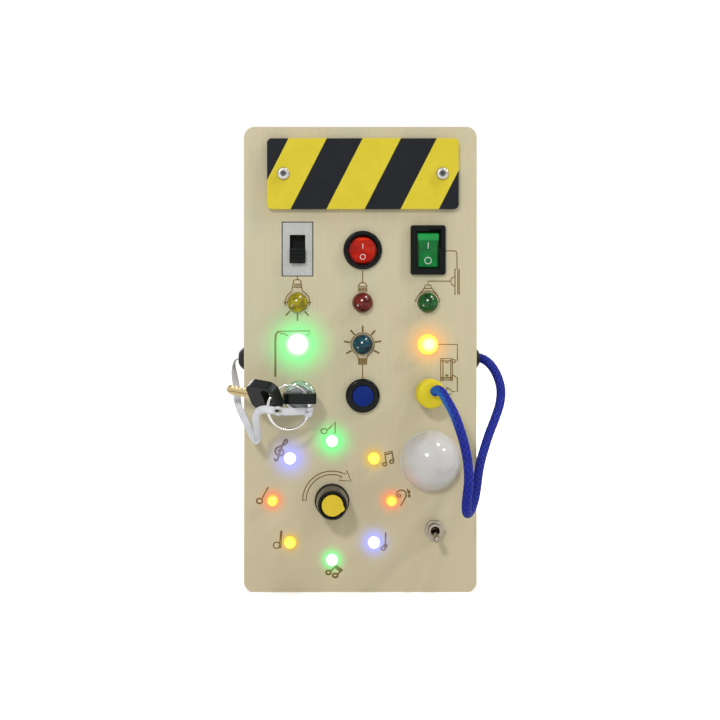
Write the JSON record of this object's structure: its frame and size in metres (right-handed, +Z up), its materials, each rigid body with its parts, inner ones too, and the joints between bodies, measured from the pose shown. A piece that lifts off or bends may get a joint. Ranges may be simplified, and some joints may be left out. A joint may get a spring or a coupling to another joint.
{
  "type": "wooden busy board",
  "caption": "Standing plywood activity board with rocker, slide and toggle switches, key lock, push button, corded plug, turning knob, dome lamps and a ring of small lit lamps.",
  "frame": {"origin": "centre of the flat bottom face that the board stands on", "axes": "+Z up along the board's height, +X to the right as seen from the front, -Y out of the front panel"},
  "size_m": [0.1211, 0.0619, 0.2],
  "materials": {
    "panel_wood": "sanded plywood face, clear sealed",
    "rail_wood": "sanded",
    "cover_wood": "plywood, sanded",
    "stripe_plate": "printed acrylic, yellow with black stripes",
    "bright_steel": "nickel plated",
    "switch_face": "stamped sheet, satin",
    "black_gloss": "moulded, glossy",
    "black_matte": "moulded, satin",
    "black_rubber": "moulded rubber",
    "rocker_red": "translucent red",
    "rocker_green": "translucent green",
    "lens_yellow": "clear yellow, unlit",
    "lens_red": "clear red, unlit",
    "lens_green": "clear green, unlit",
    "lens_blue": "clear blue, unlit",
    "lit_green": "lit green",
    "lit_amber": "lit amber",
    "lit_yellow": "lit yellow",
    "lit_red": "lit red",
    "lit_blue": "lit blue",
    "dome_white": "frosted white",
    "board_green": "glass-fibre circuit board, green",
    "knob_yellow": "moulded yellow insert",
    "button_blue": "moulded blue",
    "plug_yellow": "moulded yellow",
    "grey_metal": "turned",
    "brass": "cut blade, worn",
    "ring_steel": "spring steel, plated",
    "rope_blue": "braided nylon",
    "ribbon_white": "woven satin ribbon, thin",
    "cell_jacket": "printed jacket, plain"
  },
  "bodies": {
    "root": {"front_panel": "panel_wood", "left_rail": "rail_wood", "right_rail": "rail_wood", "top_rail": "rail_wood", "bottom_rail": "rail_wood", "back_cover": "cover_wood", "back_screws": "bright_steel", "warning_plate": "stripe_plate", "plate_screws": "bright_steel", "slide_switch_plate": "switch_face", "slide_switch_body": "black_matte", "round_rocker_housing": "black_gloss", "square_rocker_housing": "black_gloss", "yellow_lamp": "lens_yellow", "red_lamp": "lens_red", "green_lamp": "lens_green", "street_lamp": "lit_green", "blue_lamp": "lens_blue", "amber_lamp": "lit_amber", "ring_leds_green": "lit_green", "ring_leds_yellow": "lit_yellow", "ring_leds_red": "lit_red", "ring_leds_blue": "lit_blue", "ring_board": "board_green", "rotary_switch": "grey_metal", "push_button_body": "black_gloss", "push_button_spring": "ring_steel", "lock_body": "bright_steel", "ribbon": "ribbon_white", "socket_body": "black_gloss", "rope": "rope_blue", "dome_lens": "dome_white", "dome_board": "board_green", "toggle_body": "grey_metal", "toggle_nut": "bright_steel", "panel_nuts": "grey_metal", "grommets": "black_rubber", "battery_box": "black_matte", "battery_cells": "cell_jacket", "battery_contacts": "ring_steel", "battery_door": "black_matte", "door_screw": "bright_steel"},
    "slider": {"slide_switch_slider": "black_matte"},
    "round_rocker": {"round_rocker_button": "rocker_red"},
    "square_rocker": {"square_rocker_button": "rocker_green"},
    "button": {"push_button_cap": "button_blue"},
    "knob": {"rotary_shaft": "grey_metal", "knob": "black_gloss", "knob_cap": "knob_yellow"},
    "barrel": {"lock_barrel": "grey_metal"},
    "key": {"key_blade": "brass", "key_head": "black_matte"},
    "ring": {"split_ring": "ring_steel"},
    "spare_key": {"spare_key_blade": "brass", "spare_key_head": "black_matte"},
    "plug": {"plug_body": "plug_yellow", "plug_pin": "brass"},
    "lever": {"toggle_lever": "bright_steel"}
  },
  "joints": [
    {"name": "slider_slide", "type": "slide", "parent": "root", "child": "slider", "axis": [0, 0, 1], "range_m": [0, 0.0055]},
    {"name": "round_rocker_tilt", "type": "hinge", "parent": "root", "child": "round_rocker", "pos_m": [0.001, -0.0148, 0.147], "axis": [1, 0, 0], "range_deg": [-16, 0]},
    {"name": "square_rocker_tilt", "type": "hinge", "parent": "root", "child": "square_rocker", "pos_m": [0.029, -0.0148, 0.147], "axis": [1, 0, 0], "range_deg": [-16, 0]},
    {"name": "button_press", "type": "slide", "parent": "root", "child": "button", "axis": [0, 1, 0], "range_m": [0, 0.0022], "stiffness_N_per_m": 350, "springref_m": -0.0015, "deforming": ["push_button_spring"]},
    {"name": "knob_turn", "type": "hinge", "parent": "root", "child": "knob", "pos_m": [-0.0122, -0.016, 0.0395], "axis": [0, 1, 0], "range_deg": [-258, 42]},
    {"name": "key_turn", "type": "hinge", "parent": "root", "child": "barrel", "pos_m": [-0.026, -0.016, 0.084], "axis": [0, -1, 0], "range_deg": [0, 90], "deforming": ["ribbon"]},
    {"name": "key_pull", "type": "slide", "parent": "barrel", "child": "key", "axis": [0, -1, 0], "range_m": [0, 0.014]},
    {"name": "ring_swing", "type": "hinge", "parent": "key", "child": "ring", "pos_m": [-0.022, -0.0286, 0.084], "axis": [0, 0, 1], "range_deg": [-15, 20]},
    {"name": "spare_key_swing", "type": "hinge", "parent": "ring", "child": "spare_key", "pos_m": [-0.03801, -0.03573, 0.08503], "axis": [-0.4429, -0.1972, -0.8746], "range_deg": [-15, 20]},
    {"name": "plug_pull", "type": "slide", "parent": "root", "child": "plug", "axis": [0, -1, 0], "range_m": [0, 0.012], "deforming": ["rope"]},
    {"name": "toggle_flip", "type": "hinge", "parent": "root", "child": "lever", "pos_m": [0.0318, -0.0184, 0.027], "axis": [1, 0, 0], "range_deg": [-24, 0]}
  ]
}
